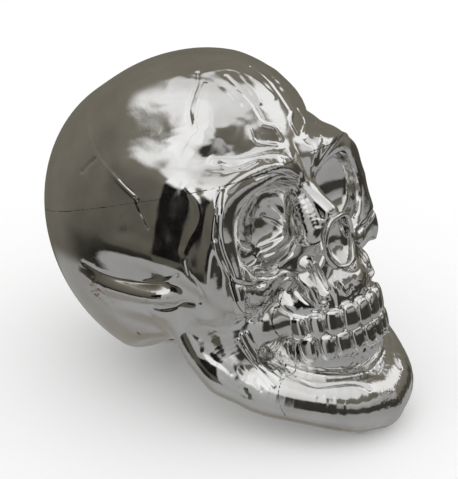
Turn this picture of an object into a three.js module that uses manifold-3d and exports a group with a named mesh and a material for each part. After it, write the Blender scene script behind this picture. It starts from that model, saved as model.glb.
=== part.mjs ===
// Hollow skull decoration: three chromed shells that lap at two seams, a stopper and three rest pads.
// Millimetres, +Z up, face towards -Y, the skull's left side towards +X, ground at zero.

import * as THREE from 'three';
import { mergeVertices } from 'three/addons/utils/BufferGeometryUtils.js';
import Module from 'manifold-3d';

const wasm = await Module();
wasm.setup();

// Size of the skull, which the tables of shares follow
const skullLength = 194;
const halfWidth = 62;
const skullHeight = 149;

// Shells, and the lap where the lip of one runs inside the next
const wall = 2.4;
const gap = 0.3;
const lipReach = 2.6;
const lapDepth = (wall - gap) / 2;
const lipDepth = lapDepth + gap;

// Seams, in a frame that is tipped back about the line through the ears
const seamTilt = THREE.MathUtils.degToRad(19.5);
const crownSeamShare = 0.638;
const faceSeamShare = -0.3412;

// Eye socket: a ring with a drawn-out inner corner, on a face plane that leans, round a cup
const orbitRadius = 19.2;
const orbitPlaceShares = [0.408, -0.215, 0.614];
const orbitLeanShare = 0.11;
const orbitRakeShare = 0.13;
const orbitDroopShare = 0.083;
const orbitSquareShare = 0.042;
const orbitCornerShare = 0.156;
const orbitTwistShare = 0.288;
const orbitDroopTurn = THREE.MathUtils.degToRad(230);
const orbitSquareTurn = THREE.MathUtils.degToRad(40);
const orbitCornerTurn = THREE.MathUtils.degToRad(150);
const orbitCornerSpread = 0.3;
const orbitCupDepth = 14;
const orbitFront = 25;
const orbitRollRadius = 4;
const orbitRollOutShare = 0.8;
const orbitRollBackShare = 0.85;

// Mouth and teeth, in a frame tipped along the bite
const biteTilt = THREE.MathUtils.degToRad(17.2);
const bitePlaceShares = [0, -0.412, 0.338];
const archRadius = 24.5;
const toothDepth = 4.5;
const toothSeat = 0.4;
const upperToothHeight = 6.3;
const lowerToothHeight = 5.8;
const toothRiseShare = 0.82;
const backToothFrom = 60;
const backToothTurn = 30;
const backArchWidenShare = 0.1;
const backArchRunShare = 0.2;
const backToothDropShare = 0.15;

// Each tooth's angle round the arch from the front, and half its width as a share of the arch's radius
const upperTeethShares = [
  [9, 0.151], [27, 0.147], [45.5, 0.159], [63, 0.131], [78, 0.147], [95, 0.163],
];
const lowerTeethShares = [
  [7.5, 0.122], [22.5, 0.127], [38.5, 0.143], [55, 0.139], [71, 0.151], [88, 0.167],
];

// Nose opening, hollow between the two sides of the jaw, and bars along the orbit and the cheek arch
const noseShares = { at: [0, -0.34, 0.547], size: [0.161, 0.062, 0.074] };
const nosePitch = THREE.MathUtils.degToRad(-30);
const jawHollowShares = { at: [0, -0.216, -0.013], size: [0.387, 0.175, 0.134] };
const orbitEdgeRadius = 2.8;
const orbitEdgeShares = [[0.548, -0.129, 0.728], [0.653, -0.155, 0.715], [0.702, -0.173, 0.681],
  [0.719, -0.183, 0.617], [0.737, -0.202, 0.56], [0.753, -0.219, 0.507], [0.771, -0.235, 0.456],
  [0.766, -0.237, 0.421]];
const archRollRadius = 3.3;
const archRollShares = [[0.7, -0.135, 0.505], [0.839, -0.082, 0.463], [0.919, -0.052, 0.45],
  [0.945, 0.015, 0.433], [0.94, 0.103, 0.423], [0.89, 0.165, 0.426]];

// Stopper in the underside, in an upright collar of the base shell
const stopperPlaceShare = -0.031;
const stopperBore = 9;
const stopperStem = 8;
const stopperFlange = 2;
const stopperFlangeLap = 2.2;
const collarFootShare = 0.198;
const collarHeight = 14;

// Rest pads under moulded bosses
const padRadius = 3.5;
const padHeight = 1.1;
const bossStand = 0.6;
const bossWall = 1.5;
const bossHeight = 5.4;
const padShares = { chin_left: [0.121, -0.414], chin_right: [-0.121, -0.414], back: [0, 0.193] };

// Rays that carry the surface, closer together over the face
const raySplitCount = 10;
const rayCrowdingShare = 0.5;
const raySpreadShare = 0.55;
const rayCoreShares = [0, -0.046, 0.416];
const rayCoreSizeShares = [0.45, 0.052, 0.2];
const rearCoreShiftShares = [0, 0.155, 0];
const rearCoreLiftShares = [0, 0, 0.085];
const faceTurnShares = [-0.3, 0.6];
const rearTurnShares = [-0.12, 0.3];
const liftTurnShares = [-0.3, 0];
const underTurnShares = [0, 0.6];
const traceShare = 0.8;
const traceStep = 0.25;
const traceHalvings = 12;
const overrun = 5;
const roundSides = 24;
const socketSides = 28;
const socketRings = 4;
const crownSides = 8;
const rollSides = 4;
const rollSteps = 10;

// Masses of the skull in the order in which they are joined or cut, as shares of the skull's size.
// A limb's rows hold a place and a radius, and its blend and radii follow the height.
const limbBlendShare = 0.017;
const mouthBlendShare = 0.027;
const massShares = [
  { name: 'cranium', join: 'add', blend: 0,
    ball: { at: [0, 0.149, 0.451], size: [1, 0.309, 0.477], pitch: 36 } },
  { name: 'parietal lobe', join: 'add', blend: 0.081,
    ball: { at: [0, 0.076, 0.779], size: [0.782, 0.232, 0.218] } },
  { name: 'frontal block', join: 'add', blend: 0.054,
    ball: { at: [0, -0.026, 0.617], size: [0.79, 0.165, 0.181] } },
  { name: 'column behind the orbit', join: 'add', blend: 0.04,
    limb: [[0.468, -0.103, 0.691, 0.067], [0.565, -0.129, 0.651, 0.067],
      [0.621, -0.144, 0.591, 0.067], [0.637, -0.165, 0.523, 0.067], [0.653, -0.186, 0.47, 0.067]] },
  { name: 'temple plate', join: 'add', blend: 0.04,
    limb: [[0.532, -0.098, 0.711, 0.06], [0.605, -0.103, 0.658, 0.064],
      [0.621, -0.113, 0.591, 0.067], [0.653, -0.139, 0.523, 0.067], [0.685, -0.16, 0.47, 0.06]] },
  { name: 'glabella slope', join: 'add', blend: 0.054,
    ball: { at: [0, -0.103, 0.738], size: [0.452, 0.088, 0.114] } },
  { name: 'bed of the orbit', join: 'add', blend: 0.04,
    ball: { at: [0.4, -0.144, 0.59], size: [0.32, 0.07, 0.135] } },
  { name: 'cheek plate', join: 'add', blend: 0.04,
    limb: [[0.653, -0.17, 0.403, 0.067], [0.702, -0.124, 0.383, 0.064],
      [0.75, -0.062, 0.369, 0.06], [0.806, 0.021, 0.362, 0.054], [0.806, 0.113, 0.369, 0.054]] },
  { name: 'hollow of the base', join: 'cut', blend: 0.047,
    ball: { at: [0, -0.124, -0.054], size: [2.419, 0.289, 0.315] } },
  { name: 'temporal hollow', join: 'cut', blend: 0.027,
    ball: { at: [1.194, -0.026, 0.591], size: [0.323, 0.165, 0.148] } },
  { name: 'brow', join: 'add', blend: 0.047,
    limb: [[0, -0.17, 0.711, 0.044], [0.129, -0.186, 0.742, 0.044], [0.29, -0.191, 0.758, 0.04],
      [0.452, -0.18, 0.735, 0.04], [0.565, -0.155, 0.705, 0.04], [0.613, -0.134, 0.685, 0.034]] },
  { name: 'cheek bone', join: 'add', blend: 0.02,
    limb: [[0.685, -0.204, 0.443, 0.054], [0.581, -0.211, 0.436, 0.054],
      [0.419, -0.216, 0.456, 0.047]] },
  { name: 'maxilla', join: 'add', blend: 0.04,
    ball: { at: [0, -0.216, 0.456], size: [0.339, 0.113, 0.134] } },
  { name: 'premaxilla', join: 'add', blend: 0.034,
    limb: [[0, -0.289, 0.47, 0.06], [0, -0.32, 0.416, 0.081], [0.145, -0.294, 0.416, 0.067]] },
  { name: 'nasolabial bar', join: 'add', blend: 0.02,
    limb: [[0.274, -0.247, 0.497, 0.02], [0.29, -0.299, 0.456, 0.02], [0.29, -0.33, 0.409, 0.02]] },
  { name: 'nasal bone', join: 'add', blend: 0.027,
    limb: [[0, -0.186, 0.698, 0.037], [0, -0.227, 0.658, 0.034], [0, -0.278, 0.621, 0.034]] },
  { name: 'side of the nose', join: 'add', blend: 0.027,
    limb: [[0.081, -0.206, 0.644, 0.04], [0.145, -0.242, 0.564, 0.044],
      [0.185, -0.268, 0.497, 0.044]] },
  { name: 'upper gum', join: 'add', blend: 0.027,
    mouthLimb: [[0, 0.108, 0.054, 0.117], [0.097, 0.124, 0.054, 0.117],
      [0.177, 0.186, 0.054, 0.104], [0.226, 0.258, 0.054, 0.094]] },
  { name: 'lower gum', join: 'add', blend: 0.027,
    mouthLimb: [[0, 0.108, -0.06, 0.124], [0.097, 0.124, -0.06, 0.124],
      [0.194, 0.186, -0.06, 0.111], [0.242, 0.258, -0.06, 0.101]] },
  { name: 'cheek wall', join: 'add', blend: 0.034,
    limb: [[0.419, -0.216, 0.322, 0.087], [0.484, -0.155, 0.309, 0.087]] },
  { name: 'jaw body', join: 'add', blend: 0.047,
    limb: [[0, -0.43, 0.082, 0.084], [0.226, -0.407, 0.101, 0.081], [0.452, -0.335, 0.124, 0.07],
      [0.581, -0.253, 0.144, 0.074], [0.661, -0.175, 0.178, 0.067]] },
  { name: 'jaw branch', join: 'add', blend: 0.04,
    limb: [[0.661, -0.175, 0.178, 0.067], [0.694, -0.119, 0.228, 0.067],
      [0.694, -0.072, 0.322, 0.067]] },
  { name: 'jaw plate', join: 'add', blend: 0.04,
    limb: [[0.548, -0.155, 0.295, 0.081], [0.565, -0.186, 0.242, 0.067]] },
  { name: 'floor of the mouth', join: 'add', blend: 0.034,
    ball: { at: [0, -0.232, 0.161], size: [0.484, 0.175, 0.114] } },
  { name: 'skull base', join: 'add', blend: 0.054,
    limb: [[0.323, 0.103, 0.309, 0.161], [0.419, 0, 0.349, 0.161], [0.387, -0.072, 0.362, 0.148]] },
  { name: 'rest of the occiput', join: 'add', blend: 0.04,
    ball: { at: [0, 0.193, 0.081], size: [0.3, 0.077, 0.075] } },
  { name: 'ground', join: 'cut', blend: 0.007 },
];

// Shares to places

function place(shares) {
  return new THREE.Vector3(shares[0] * halfWidth, shares[1] * skullLength, shares[2] * skullHeight);
}

const orbitPlace = place(orbitPlaceShares);
const bitePlace = place(bitePlaceShares);

// Distance functions: each takes a place and gives a distance, below zero inside

function joined(a, b, blend) {
  if (blend === 0) return Math.min(a, b);
  const mix = THREE.MathUtils.clamp(0.5 + 0.5 * (b - a) / blend, 0, 1);
  return b + (a - b) * mix - blend * mix * (1 - mix);
}

function carved(a, b, blend) {
  return -joined(-a, -b, blend);
}

function ball(centre, radii, pitch) {
  const pitchCos = Math.cos(pitch);
  const pitchSin = Math.sin(pitch);
  return (x, y, z) => {
    const along = y - centre.y;
    const up = z - centre.z;
    const a = (x - centre.x) / radii.x;
    const b = (along * pitchCos - up * pitchSin) / radii.y;
    const c = (along * pitchSin + up * pitchCos) / radii.z;
    const reach = Math.sqrt(a * a + b * b + c * c);
    const slope = Math.sqrt((a / radii.x) ** 2 + (b / radii.y) ** 2 + (c / radii.z) ** 2);
    return reach * (reach - 1) / (slope + Number.EPSILON);
  };
}

function bone(from, to) {
  const run = to.at.clone().sub(from.at);
  const runSquared = run.lengthSq();
  return (x, y, z) => {
    const dx = x - from.at.x;
    const dy = y - from.at.y;
    const dz = z - from.at.z;
    const share = THREE.MathUtils.clamp((dx * run.x + dy * run.y + dz * run.z) / runSquared, 0, 1);
    const ex = dx - run.x * share;
    const ey = dy - run.y * share;
    const ez = dz - run.z * share;
    return Math.sqrt(ex * ex + ey * ey + ez * ez) - from.radius - (to.radius - from.radius) * share;
  };
}

function limb(rows, blend) {
  const points = rows.map((row) => ({ at: place(row), radius: row[3] * skullHeight }));
  const bones = points.slice(1).map((point, index) => bone(points[index], point));
  return (x, y, z) => {
    let distance = bones[0](x, y, z);
    for (let index = 1; index < bones.length; index += 1) {
      distance = joined(distance, bones[index](x, y, z), blend);
    }
    return distance;
  };
}

// The mouth's frame: its origin lies on the bite at the front, its Z axis square to the bite

const biteCos = Math.cos(biteTilt);
const biteSin = Math.sin(biteTilt);

function inMouth(shape) {
  return (x, y, z) => {
    const along = y - bitePlace.y;
    const up = z - bitePlace.z;
    return shape(x, along * biteCos - up * biteSin, along * biteSin + up * biteCos);
  };
}

// The eye socket's outline round its centre, and the leaning plane that it opens in

function socketOutline(angle) {
  const droop = orbitDroopShare * Math.cos(angle - orbitDroopTurn);
  const square = orbitSquareShare * Math.cos(2 * (angle + orbitSquareTurn));
  const corner = orbitCornerShare * Math.exp(-(((angle - orbitCornerTurn) / orbitCornerSpread) ** 2));
  return orbitRadius * (1 + droop + square + corner);
}

function socketPlane(across, up) {
  const twist = orbitTwistShare * Math.max(across, 0) * Math.max(up, 0) / orbitRadius;
  return orbitPlace.y + orbitLeanShare * across + orbitRakeShare * up + twist;
}

function massFunction(mass) {
  if (mass.ball) {
    const { at, size, pitch = 0 } = mass.ball;
    return ball(place(at), place(size), THREE.MathUtils.degToRad(pitch));
  }
  if (mass.limb) return limb(mass.limb, limbBlendShare * skullHeight);
  if (mass.mouthLimb) return inMouth(limb(mass.mouthLimb, mouthBlendShare * skullHeight));
  return (x, y, z) => z - bossStand;
}

const masses = massShares.map((mass) => ({
  cuts: mass.join === 'cut',
  blend: mass.blend * skullHeight,
  distance: massFunction(mass),
}));

function skullDistance(x, y, z) {
  const side = Math.abs(x);
  let distance = masses[0].distance(side, y, z);
  for (const mass of masses.slice(1)) {
    const own = mass.distance(side, y, z);
    distance = mass.cuts ? carved(distance, -own, mass.blend) : joined(distance, own, mass.blend);
  }
  return distance;
}

// Rays from an inner core to the surface. They crowd towards the face and run nearly parallel there.
// Under the rear they start further back and higher, to meet the sloping underside squarely.

const rayCore = place(rayCoreShares);
const rayCoreSize = place(rayCoreSizeShares);
const rearCoreShift = place(rearCoreShiftShares);
const rearCoreLift = place(rearCoreLiftShares);

function rayThrough(point) {
  const polar = Math.acos(THREE.MathUtils.clamp(-point.y, -1, 1));
  const bent = polar - rayCrowdingShare * Math.sin(polar);
  const around = Math.atan2(point.z, point.x);
  const unit = new THREE.Vector3(Math.cos(around), 0, Math.sin(around)).multiplyScalar(Math.sin(bent));
  unit.y = -Math.cos(bent);
  const spread = 1 - raySpreadShare * THREE.MathUtils.smoothstep(-unit.y, ...faceTurnShares);
  const under = THREE.MathUtils.smoothstep(-unit.z, ...underTurnShares);
  const from = unit.clone().multiply(rayCoreSize).add(rayCore);
  from.addScaledVector(rearCoreShift, under * THREE.MathUtils.smoothstep(unit.y, ...rearTurnShares));
  from.addScaledVector(rearCoreLift, under * THREE.MathUtils.smoothstep(unit.y, ...liftTurnShares));
  return {
    from,
    along: new THREE.Vector3(unit.x * spread, unit.y, unit.z * spread).normalize(),
  };
}

// Distances along the ray at which it passes each depth under the surface, from outside inwards

function crossings(ray, depths) {
  const at = (run) => skullDistance(
    ray.from.x + ray.along.x * run,
    ray.from.y + ray.along.y * run,
    ray.from.z + ray.along.z * run,
  );
  let run = skullLength;
  return depths.map((depth) => {
    let outside = run;
    let over = at(run) + depth;
    while (over > 0 && run > 0) {
      outside = run;
      run -= Math.max(traceShare * over, traceStep);
      over = at(run) + depth;
    }
    let inside = run;
    for (let halving = 0; halving < traceHalvings; halving += 1) {
      const middle = (outside + inside) / 2;
      if (at(middle) + depth > 0) outside = middle;
      else inside = middle;
    }
    run = inside;
    return Math.max(inside, 0);
  });
}

function bare(geometry) {
  geometry.deleteAttribute('normal');
  geometry.deleteAttribute('uv');
  return mergeVertices(geometry);
}

function solid(geometry) {
  const shape = geometry.index && !geometry.attributes.normal ? geometry : bare(geometry);
  const vertProperties = new Float32Array(shape.attributes.position.array);
  const triVerts = new Uint32Array(shape.index.array);
  return new wasm.Manifold(new wasm.Mesh({ numProp: 3, vertProperties, triVerts }));
}

// One closed solid for each depth, all on the same rays, so that each lies wholly inside the last

function nestedSkulls(depths) {
  const net = bare(new THREE.IcosahedronGeometry(1, raySplitCount));
  const nodes = net.attributes.position;
  const skulls = depths.map(() => net.clone());
  const point = new THREE.Vector3();
  for (let index = 0; index < nodes.count; index += 1) {
    const ray = rayThrough(point.fromBufferAttribute(nodes, index).normalize());
    crossings(ray, depths).forEach((run, level) => {
      point.copy(ray.along).multiplyScalar(run).add(ray.from);
      skulls[level].attributes.position.setXYZ(index, point.x, point.y, point.z);
    });
  }
  return skulls.map(solid);
}

function mirrored(half) {
  return half.add(half.mirror([1, 0, 0]));
}

// Hollows carved into the skull, each grown by the depth of the layer that it is carved from

function egg(at, radii, pitch = 0) {
  const geometry = new THREE.SphereGeometry(1, roundSides, roundSides / 2);
  geometry.scale(radii.x, radii.y, radii.z);
  geometry.rotateX(-pitch);
  geometry.translate(at.x, at.y, at.z);
  return solid(geometry);
}

function sockets(depth) {
  const profile = [new THREE.Vector2(0, -1), new THREE.Vector2(1, -1)];
  for (let ring = 0; ring <= socketRings; ring += 1) {
    const angle = ring / socketRings * Math.PI / 2;
    profile.push(new THREE.Vector2(Math.cos(angle), Math.sin(angle)));
  }
  const geometry = bare(new THREE.LatheGeometry(profile, socketSides));
  const points = geometry.attributes.position;
  for (let index = 0; index < points.count; index += 1) {
    const angle = Math.atan2(points.getZ(index), points.getX(index));
    const radius = Math.hypot(points.getX(index), points.getZ(index)) * (socketOutline(angle) + depth);
    const across = radius * Math.cos(angle);
    const up = radius * Math.sin(angle);
    const share = points.getY(index);
    const back = share > 0 ? share * (orbitCupDepth + depth) : share * orbitFront;
    points.setXYZ(index, orbitPlace.x + across, socketPlane(across, up) + back, orbitPlace.z + up);
  }
  return mirrored(solid(geometry));
}

function hollows(depth) {
  const nose = egg(place(noseShares.at), place(noseShares.size).addScalar(depth), nosePitch);
  const jaw = egg(place(jawHollowShares.at), place(jawHollowShares.size).addScalar(depth));
  return sockets(depth).add(nose).add(jaw);
}

// Teeth and cheek arches, which stand out of the surface

function tooth(side, row, angle, halfWidthShare, height) {
  const turn = THREE.MathUtils.degToRad(angle);
  const beyond = Math.max(0, angle - backToothFrom) / backToothTurn;
  const radius = archRadius * (1 + backArchWidenShare * beyond) - toothDepth;
  const geometry = new THREE.SphereGeometry(1, crownSides, crownSides / 2);
  geometry.rotateX(Math.PI / 2);
  geometry.scale(halfWidthShare * archRadius, toothDepth + toothSeat, height);
  geometry.rotateZ(side * turn);
  geometry.translate(
    side * radius * Math.sin(turn),
    archRadius * (1 + backArchRunShare * beyond) - radius * Math.cos(turn),
    row * height * (toothRiseShare - backToothDropShare * beyond),
  );
  geometry.rotateX(-biteTilt);
  geometry.translate(bitePlace.x, bitePlace.y, bitePlace.z);
  return solid(geometry);
}

function teeth() {
  const crowns = [-1, 1].flatMap((side) => [
    ...upperTeethShares.map(([angle, share]) => tooth(side, 1, angle, share, upperToothHeight)),
    ...lowerTeethShares.map(([angle, share]) => tooth(side, -1, angle, share, lowerToothHeight)),
  ]);
  return crowns.reduce((all, crown) => all.add(crown));
}

function bar(routeShares, radius) {
  const section = new THREE.Shape().absarc(0, 0, radius, 0, 2 * Math.PI);
  const route = new THREE.CatmullRomCurve3(routeShares.map(place));
  const options = { steps: rollSteps, curveSegments: rollSides, extrudePath: route };
  return mirrored(solid(new THREE.ExtrudeGeometry(section, options)));
}

function orbitRolls() {
  const geometry = bare(new THREE.TorusGeometry(orbitRadius, orbitRollRadius, 2 * rollSides, socketSides));
  const points = geometry.attributes.position;
  for (let index = 0; index < points.count; index += 1) {
    const angle = Math.atan2(points.getY(index), points.getX(index));
    const tube = Math.hypot(points.getX(index), points.getY(index)) - orbitRadius;
    const radius = socketOutline(angle) + orbitRollOutShare * orbitRollRadius + tube;
    const across = radius * Math.cos(angle);
    const up = radius * Math.sin(angle);
    const back = orbitRollBackShare * orbitRollRadius - points.getZ(index);
    points.setXYZ(index, orbitPlace.x + across, socketPlane(across, up) + back, orbitPlace.z + up);
  }
  return mirrored(solid(geometry));
}

const depths = [0, lapDepth, lipDepth, wall];
const layers = nestedSkulls(depths);
layers[0] = layers[0].add(orbitRolls()).add(bar(orbitEdgeShares, orbitEdgeRadius));
const hollowed = layers.map((layer, index) => layer.subtract(hollows(depths[index])));
const [bareSkull, lapCore, lipCore, cavity] = hollowed;
const skull = bareSkull.add(teeth()).add(bar(archRollShares, archRollRadius));

// Blocks that part the shells, in the tipped frame of the seams

const crownSeam = crownSeamShare * skullHeight;
const faceSeam = faceSeamShare * skullLength;
const blockSize = 2 * skullLength;

function blockAbove(height) {
  const geometry = new THREE.BoxGeometry(blockSize, blockSize, blockSize);
  geometry.translate(0, 0, height + blockSize / 2);
  return solid(geometry.rotateX(-seamTilt));
}

function blockBefore(line) {
  const geometry = new THREE.BoxGeometry(blockSize, blockSize, blockSize);
  geometry.translate(0, line - blockSize / 2, 0);
  return solid(geometry.rotateX(-seamTilt));
}

// The eye cups reach behind the face seam, so the face shell takes them whole with their walls

function cupBlocks(grown) {
  return sockets(wall + grown);
}

function largestBody(shape) {
  const bodies = shape.decompose();
  return bodies.reduce((best, body) => (body.volume() > best.volume() ? body : best));
}

// Rods stand upright; a rod's foot is its lower end

function rod(x, y, foot, radius, height) {
  const geometry = new THREE.CylinderGeometry(radius, radius, height, roundSides);
  geometry.rotateX(Math.PI / 2);
  geometry.translate(x, y, foot + height / 2);
  return solid(geometry);
}

const padPlaces = Object.fromEntries(Object.entries(padShares).map(([name, shares]) => (
  [name, [shares[0] * halfWidth, shares[1] * skullLength]]
)));
const padSeatRadius = padRadius + gap;
const bossRadius = padSeatRadius + bossWall;

function withBosses(shell, names) {
  return names.reduce((shape, name) => {
    const [x, y] = padPlaces[name];
    const boss = rod(x, y, bossStand, bossRadius, bossHeight);
    const seat = rod(x, y, bossStand - overrun, padSeatRadius, overrun + padHeight + gap - bossStand);
    return shape.add(boss).subtract(seat);
  }, shell);
}

// Shells

const lapAtCrown = lapCore.intersect(blockAbove(crownSeam - lipReach - gap));
const lapAtFace = lapCore.intersect(blockBefore(faceSeam + lipReach + gap));

function crownShell() {
  const dome = skull.intersect(blockAbove(crownSeam + gap / 2));
  const lip = lipCore.intersect(blockAbove(crownSeam - lipReach));
  return dome.add(lip).subtract(cavity);
}

function faceShell() {
  const front = skull.intersect(blockBefore(faceSeam - gap / 2).add(cupBlocks(0)));
  const lip = lipCore.intersect(blockBefore(faceSeam + lipReach));
  const mask = front.add(lip).subtract(cavity);
  const trimmed = mask.subtract(blockAbove(crownSeam - gap / 2)).subtract(lapAtCrown);
  return withBosses(trimmed, ['chin_left', 'chin_right']);
}

const collarFoot = collarFootShare * skullHeight;
const stopperPlace = stopperPlaceShare * skullLength;
const flangeRadius = stopperBore + stopperFlangeLap;
const pocketRadius = flangeRadius + gap;
const pocketDepth = stopperFlange + 2 * gap;

function baseShell() {
  const rear = skull.subtract(blockBefore(faceSeam + gap / 2)).subtract(cupBlocks(gap));
  const bowl = rear.subtract(cavity).subtract(lapAtFace);
  const trimmed = bowl.subtract(blockAbove(crownSeam - gap / 2)).subtract(lapAtCrown);
  const collar = rod(0, stopperPlace, collarFoot, pocketRadius + wall, collarHeight);
  const bore = rod(0, stopperPlace, collarFoot - overrun, stopperBore, collarHeight + 2 * overrun);
  const pocket = rod(0, stopperPlace, collarFoot - overrun, pocketRadius, overrun + pocketDepth);
  return withBosses(trimmed.add(collar).subtract(bore).subtract(pocket), ['back']);
}

// Stopper: a stem in the collar's bore and a flange in the pocket under it

function stopper() {
  const flangeFoot = collarFoot + pocketDepth - gap - stopperFlange;
  const flange = rod(0, stopperPlace, flangeFoot, flangeRadius, stopperFlange);
  const stem = rod(0, stopperPlace, flangeFoot, stopperBore - gap, stopperFlange + stopperStem);
  return flange.add(stem);
}

// Materials

function chrome(name) {
  return new THREE.MeshStandardMaterial({ name, color: 0xc9c9c6, roughness: 0.08, metalness: 1 });
}

function rubber(name) {
  return new THREE.MeshStandardMaterial({ name, color: 0x2a2a2c, roughness: 0.75, metalness: 0 });
}

function plastic(name) {
  return new THREE.MeshStandardMaterial({ name, color: 0x3a3a3c, roughness: 0.5, metalness: 0 });
}

// Scene

function node(name, shape, material) {
  const { numProp, vertProperties, triVerts } = shape.getMesh();
  const geometry = new THREE.BufferGeometry();
  geometry.setAttribute('position', new THREE.BufferAttribute(vertProperties, numProp));
  geometry.setIndex(new THREE.BufferAttribute(triVerts, 1));
  geometry.computeVertexNormals();
  const mesh = new THREE.Mesh(geometry, material);
  mesh.name = name;
  return mesh;
}

const solids = [
  ['crown_shell', largestBody(crownShell()), chrome('crown')],
  ['face_shell', largestBody(faceShell()), chrome('face')],
  ['base_shell', largestBody(baseShell()), chrome('base')],
  ['base_plug', stopper(), plastic('plug')],
];

for (const [name, [x, y]] of Object.entries(padPlaces)) {
  solids.push([`pad_${name}`, rod(x, y, 0, padRadius, padHeight), rubber(`pad ${name}`)]);
}

// The origin is under the middle of the whole skull's length

const fronts = solids.map(([, shape]) => shape.boundingBox().min[1]);
const backs = solids.map(([, shape]) => shape.boundingBox().max[1]);
const middle = (Math.min(...fronts) + Math.max(...backs)) / 2;

const part = new THREE.Group();
for (const [name, shape, material] of solids) {
  part.add(node(name, shape.translate([0, -middle, 0]), material));
}

export default part;
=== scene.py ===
"""Chromed skull ornament: three plated shells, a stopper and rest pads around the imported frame."""

import math

import bpy
import numpy as np
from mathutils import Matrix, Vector


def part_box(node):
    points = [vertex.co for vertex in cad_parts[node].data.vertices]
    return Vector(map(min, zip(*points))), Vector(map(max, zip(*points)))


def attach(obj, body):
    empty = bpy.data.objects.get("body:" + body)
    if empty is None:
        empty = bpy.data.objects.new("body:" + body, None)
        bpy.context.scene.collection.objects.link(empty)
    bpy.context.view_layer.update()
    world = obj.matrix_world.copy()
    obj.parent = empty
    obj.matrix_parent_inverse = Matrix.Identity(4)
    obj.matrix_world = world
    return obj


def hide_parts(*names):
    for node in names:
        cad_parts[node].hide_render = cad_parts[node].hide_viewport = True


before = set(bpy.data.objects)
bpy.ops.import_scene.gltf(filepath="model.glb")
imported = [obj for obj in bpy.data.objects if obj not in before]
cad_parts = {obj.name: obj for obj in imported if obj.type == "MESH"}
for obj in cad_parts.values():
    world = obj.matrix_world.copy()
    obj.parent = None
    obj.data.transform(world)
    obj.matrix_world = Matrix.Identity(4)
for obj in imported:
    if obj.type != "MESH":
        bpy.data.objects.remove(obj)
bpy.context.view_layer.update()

MM = 0.001

# The picture and its camera, in pixels, degrees and millimetres
PICTURE_WIDTH = 458
PICTURE_HEIGHT = 479
FOCAL_LENGTH = 1320
VIEW_AZIMUTH = -50
VIEW_ELEVATION = 25
VIEW_DISTANCE = 600
VIEW_HEIGHT = 64
SENSOR_WIDTH = 36

# How far along Y the frame's middle lies from the place that the skull is drawn about
CENTRING = 1.425

# Size of the skull in millimetres, which the tables of shares follow
SKULL_LENGTH = 194
HALF_WIDTH = 62
SKULL_HEIGHT = 149
WALL = 2.2
HAIRLINE = 0.12

# The meshes: grid steps, the grids' low ends along Y and Z, their high corners, and the box at the side of
# the skull in which the coarse one is made finer
FACE_STEP = 0.75
SHELL_STEP = 1.35
LOW = (-100, -2)
SHELL_HIGH = (66, 97, 152)
FACE_HIGH = (66, -12, 128)
SIDE_LOW = (18, -100, 18)
SIDE_HIGH = (66, 12, 118)

# How the distances are worked out: cells in a block of the grid, how near a block's middle has to be in
# blocks, points in a batch, reaches of the slopes, evening rounds, the longest pull and steps of the wall
BLOCK = 4
BLOCK_REACH = 1.35
BATCH = 200000
SNAP = 0.2
SLOPE_REACH = 0.2
NORMAL_REACH = 0.12
PULL_REACH = 0.05
LONGEST_PULL = 0.8
EVENING = (0.5, 0.3, 0)
WALL_STEPS = 4
LEAST_GAIN = 0.4
TINY = 1e-12
LEAST_SLOPE = 1e-9

# Steps of the lines of sight on their way to the skull
SIGHT_STEPS = 50
SIGHT_STRIDE = 0.8
LONGEST_STEP_BACK = 4
LONGEST_STEP_AHEAD = 12

# Seams, in a frame that is tipped back about the line through the ears
SEAM_TILT = math.radians(19.5)
CROWN_SEAM_SHARE = 0.638
FACE_SEAM_SHARE = -0.3412

# Eye socket
ORBIT_RADIUS = 19.2
ORBIT_PLACE_SHARES = (0.408, -0.215, 0.614)
ORBIT_LEAN_SHARE = 0.11
ORBIT_RAKE_SHARE = 0.13
ORBIT_TWIST_SHARE = 0.288
ORBIT_DROOP_SHARE = 0.083
ORBIT_SQUARE_SHARE = 0.042
ORBIT_CORNER_SHARE = 0.156
ORBIT_DROOP_ANGLE = math.radians(230)
ORBIT_SQUARE_ANGLE = math.radians(40)
ORBIT_CORNER_ANGLE = math.radians(150)
ORBIT_CORNER_WIDTH = 0.3
ORBIT_CUP_SHARES = (1.068, 0.781, 1.068)
ORBIT_ROLL_RADIUS = 4.0
ORBIT_ROLL_OUT = 3.2
ORBIT_ROLL_BACK = 3.4
ORBIT_BLEND = 1.5
RIM_LINE_HEIGHT = 0.9
RIM_LINE_WIDTH = 0.9
RIM_LINE_INSET = 1.0
RIM_LINE_BACK = 1.5
RIM_LINE_REACH = 5.0

# Mouth and teeth, in a frame tipped along the bite
BITE_TILT = math.radians(17.2)
BITE_PLACE_SHARES = (0, -0.412, 0.338)
ARCH_CENTRE_SHARE = 0.98
TOOTH_DEPTH = 3.3
TOOTH_SEAT = 0.4
TOOTH_BLEND = 0.4
TOOTH_TAPER = 0.1
TOOTH_POWER = 3.2
TOOTH_NEARNESS = 0.9
TOOTH_OFFSET_SHARE = 0.85

# Upper and lower teeth: the side of the bite, the arch's radius, a tooth's height, and each tooth's angle
# and half width
TEETH = [
    (1, 24.5, 6.3, [(9, 3.7), (27, 3.6), (45.5, 3.9), (63, 3.2), (78, 3.6), (95, 4.0)]),
    (-1, 25.5, 5.8, [(7.5, 3.0), (22.5, 3.1), (38.5, 3.5), (55, 3.4), (71, 3.7), (88, 4.1)]),
]

# Beyond this angle the rows of teeth bend outward: the span over which they do, and by how much
BACK_TEETH_ANGLE = 60
BACK_TEETH_SPAN = 30
BACK_TEETH_WIDER = 0.1
BACK_TEETH_FURTHER = 0.2
BACK_TEETH_CLOSER = 0.15

# Limbs and lines: stretches between two of their rows, how far they reach, and how far a plate is rounded
LIMB_PIECES = 5
LIMB_REACH = 12
LINE_PIECES = 3
LINE_REACH = 2.6
LINE_MARGIN = 1.8
PLATE_POWER = 4

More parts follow.
